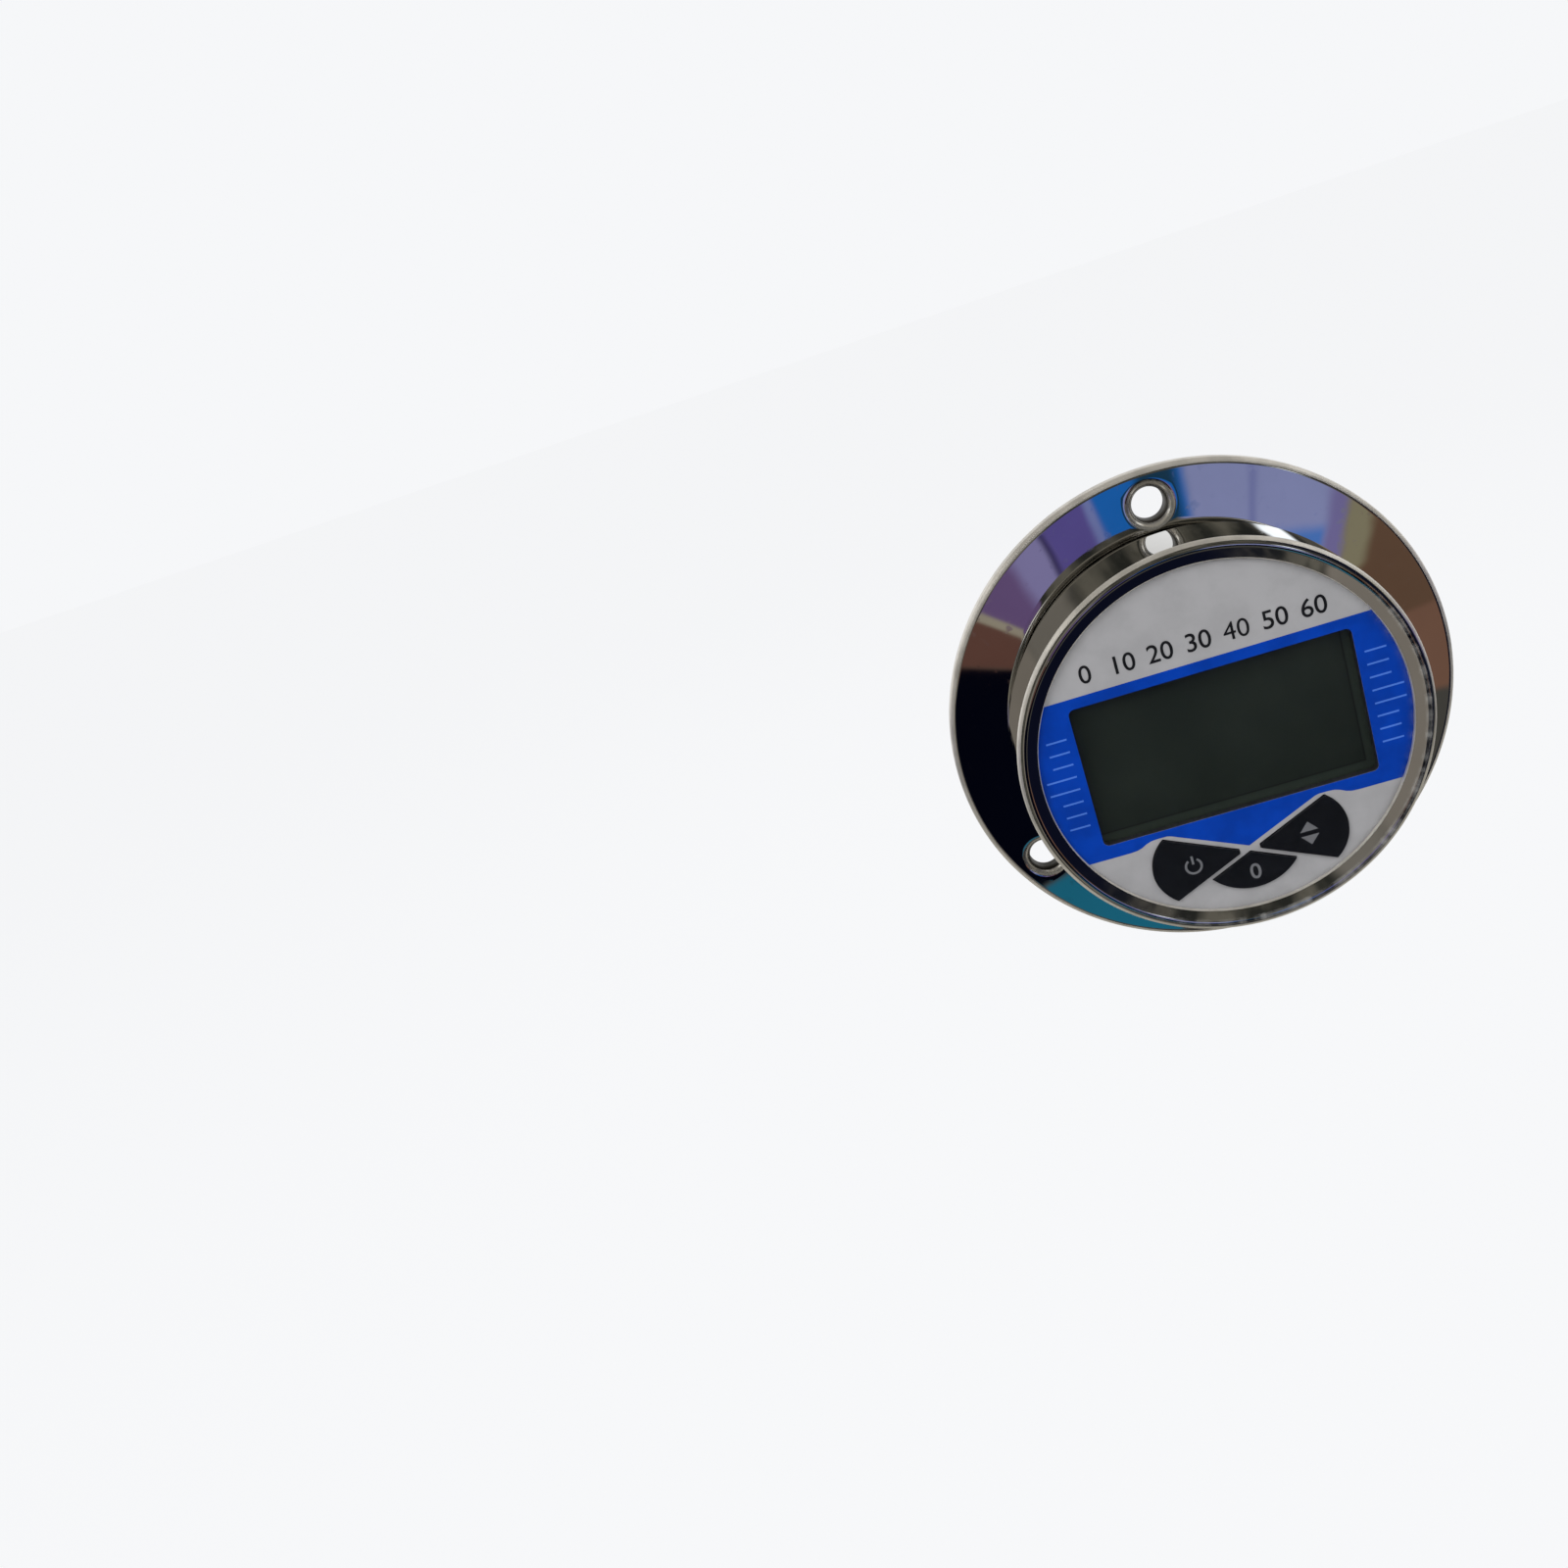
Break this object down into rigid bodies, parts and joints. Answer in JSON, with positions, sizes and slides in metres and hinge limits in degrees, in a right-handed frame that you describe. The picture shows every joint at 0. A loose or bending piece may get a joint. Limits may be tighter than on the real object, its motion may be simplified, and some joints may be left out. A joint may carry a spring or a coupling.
{
  "type": "digital pressure gauge",
  "caption": "Digital pressure gauge with a round steel case, a front mounting flange, a display with press keys and a threaded connection at the back.",
  "frame": {"origin": "centre of the flange's rear face, which lies on the panel", "axes": "the dial faces -Y with its top at +Z, +X is to the right as the dial is read, and +Y runs back through the connection"},
  "size_m": [0.086, 0.073, 0.086],
  "materials": {
    "polished_steel": "mirror-polished stainless steel",
    "turned_steel": "as-turned, matt stainless steel",
    "bright_metal": "satin",
    "brass": "satin",
    "face_plastic": "printed film, gloss",
    "window_glass": "clear pane over a dark display, gloss",
    "key_black": "gloss black",
    "plunger_grey": "matt",
    "frame_white": "matt",
    "carrier_grey": "matt",
    "display_glass": "polished",
    "rubber_black": "matt",
    "connector_pink": "matt",
    "board_green": "solder mask, satin",
    "chip_black": "matt",
    "cell_sleeve": "shrink sleeve, gloss",
    "ribbon_grey": "matt",
    "cap_clear": "translucent polythene"
  },
  "bodies": {
    "housing": {"bezel_ring": "polished_steel", "face_gasket": "rubber_black", "face_plate": "face_plastic", "display_window": "window_glass", "switch_bodies": "plunger_grey", "display_glass": "display_glass", "display_frame": "frame_white", "backlight_panel": "frame_white", "display_connector": "connector_pink", "main_board": "board_green", "board_chips": "chip_black", "board_capacitors": "bright_metal", "board_screws": "bright_metal", "screw_inserts": "brass", "carrier": "carrier_grey", "battery_cell": "cell_sleeve", "battery_contacts": "brass", "ribbon_socket": "frame_white", "sensor_ribbon": "ribbon_grey", "case_shell": "polished_steel", "mounting_flange": "polished_steel", "sensor_neck": "polished_steel", "hex_fitting": "turned_steel", "sensor_oring": "rubber_black", "sensor_cell": "bright_metal", "sensor_clamp_ring": "brass", "sensor_pins": "brass", "sensor_board": "board_green"},
    "power_key": {"key_power": "key_black", "plunger_power": "plunger_grey"},
    "zero_key": {"key_zero": "key_black", "plunger_zero": "plunger_grey"},
    "unit_key": {"key_unit": "key_black", "plunger_unit": "plunger_grey"},
    "cap": {"thread_cap": "cap_clear"}
  },
  "joints": [
    {"name": "power_press", "type": "slide", "parent": "housing", "child": "power_key", "axis": [0, 1, 0], "range_m": [0, 0.00035], "stiffness_N_per_m": 600},
    {"name": "zero_press", "type": "slide", "parent": "housing", "child": "zero_key", "axis": [0, 1, 0], "range_m": [0, 0.00035], "stiffness_N_per_m": 600},
    {"name": "unit_press", "type": "slide", "parent": "housing", "child": "unit_key", "axis": [0, 1, 0], "range_m": [0, 0.00035], "stiffness_N_per_m": 600},
    {"name": "cap_pull", "type": "slide", "parent": "housing", "child": "cap", "axis": [0, 1, 0], "range_m": [0, 0.02]}
  ]
}
